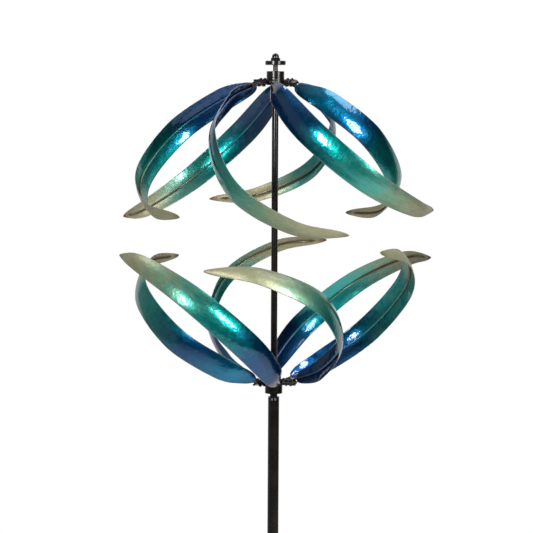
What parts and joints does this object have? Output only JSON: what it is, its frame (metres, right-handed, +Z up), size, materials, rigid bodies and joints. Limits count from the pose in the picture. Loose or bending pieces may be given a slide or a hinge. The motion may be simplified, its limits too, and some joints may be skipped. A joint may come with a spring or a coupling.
{
  "type": "kinetic wind sculpture",
  "caption": "Garden wind spinner with two counter-turning rotors of curved leaf blades on a vertical shaft, carried by a two-piece pole with a pronged ground stake.",
  "frame": {"origin": "on the pole's axis at ground level, which is the underside of the step plate", "axes": "+Z up along the pole and the shaft; -Y is the side that the picture shows; +X to the right of it"},
  "size_m": [0.615, 0.6083, 1.8356],
  "materials": {
    "black_paint": "gloss black powder coat",
    "blade_paint": "hammered metallic lacquer, indigo root through turquoise to pale sage tip",
    "rib_paint": "dark lacquer over steel wire",
    "zinc_steel": "zinc plated",
    "bearing_steel": "polished",
    "cage_brass": "pressed sheet"
  },
  "bodies": {
    "stand": {"ground_plate": "black_paint", "ground_prongs": "black_paint", "pole_socket": "black_paint", "socket_gussets": "black_paint", "socket_clamp_screw": "zinc_steel", "lower_pole": "black_paint", "pole_coupler": "zinc_steel", "coupler_screws": "black_paint", "upper_pole": "black_paint", "pole_plug": "black_paint", "plug_set_screws": "zinc_steel", "shaft": "black_paint", "snap_rings": "zinc_steel", "inner_spacers": "zinc_steel", "lower_inner_rings": "zinc_steel", "upper_inner_rings": "zinc_steel", "retaining_disc": "black_paint", "acorn_nut": "black_paint"},
    "lower_rotor": {"lower_outer_rings": "zinc_steel", "lower_hub": "black_paint", "lower_lock_ring": "black_paint", "lower_arm_plate_a": "black_paint", "lower_arm_plate_b": "black_paint", "lower_arm_bolts": "black_paint", "lower_arm_nuts": "black_paint", "lower_rib_1": "rib_paint", "lower_rib_2": "rib_paint", "lower_rib_3": "rib_paint", "lower_rib_4": "rib_paint", "lower_rib_5": "rib_paint", "lower_rib_6": "rib_paint", "lower_blade_1": "blade_paint", "lower_blade_2": "blade_paint", "lower_blade_3": "blade_paint", "lower_blade_4": "blade_paint", "lower_blade_5": "blade_paint", "lower_blade_6": "blade_paint"},
    "upper_rotor": {"upper_outer_rings": "zinc_steel", "upper_hub": "black_paint", "upper_lock_ring": "black_paint", "upper_arm_plate_a": "black_paint", "upper_arm_plate_b": "black_paint", "upper_arm_bolts": "black_paint", "upper_arm_nuts": "black_paint", "upper_rib_1": "rib_paint", "upper_rib_2": "rib_paint", "upper_rib_3": "rib_paint", "upper_rib_4": "rib_paint", "upper_rib_5": "rib_paint", "upper_rib_6": "rib_paint", "upper_blade_1": "blade_paint", "upper_blade_2": "blade_paint", "upper_blade_3": "blade_paint", "upper_blade_4": "blade_paint", "upper_blade_5": "blade_paint", "upper_blade_6": "blade_paint"},
    "lower_ball_set": {"lower_balls": "bearing_steel", "lower_cages": "cage_brass"},
    "upper_ball_set": {"upper_balls": "bearing_steel", "upper_cages": "cage_brass"}
  },
  "joints": [
    {"name": "lower_spin", "type": "hinge", "parent": "stand", "child": "lower_rotor", "pos_m": [0, 0, 0.987], "axis": [0, 0, 1], "continuous": true},
    {"name": "upper_spin", "type": "hinge", "parent": "stand", "child": "upper_rotor", "pos_m": [0, 0, 1.58], "axis": [0, 0, 1], "continuous": true},
    {"name": "lower_cage_spin", "type": "hinge", "parent": "stand", "child": "lower_ball_set", "pos_m": [0, 0, 0.987], "axis": [0, 0, 1], "continuous": true},
    {"name": "upper_cage_spin", "type": "hinge", "parent": "stand", "child": "upper_ball_set", "pos_m": [0, 0, 1.58], "axis": [0, 0, 1], "continuous": true}
  ],
  "couplings": [
    {"joint": "lower_cage_spin", "follows": "lower_spin", "ratio": 0.6153},
    {"joint": "upper_cage_spin", "follows": "upper_spin", "ratio": 0.6153}
  ]
}
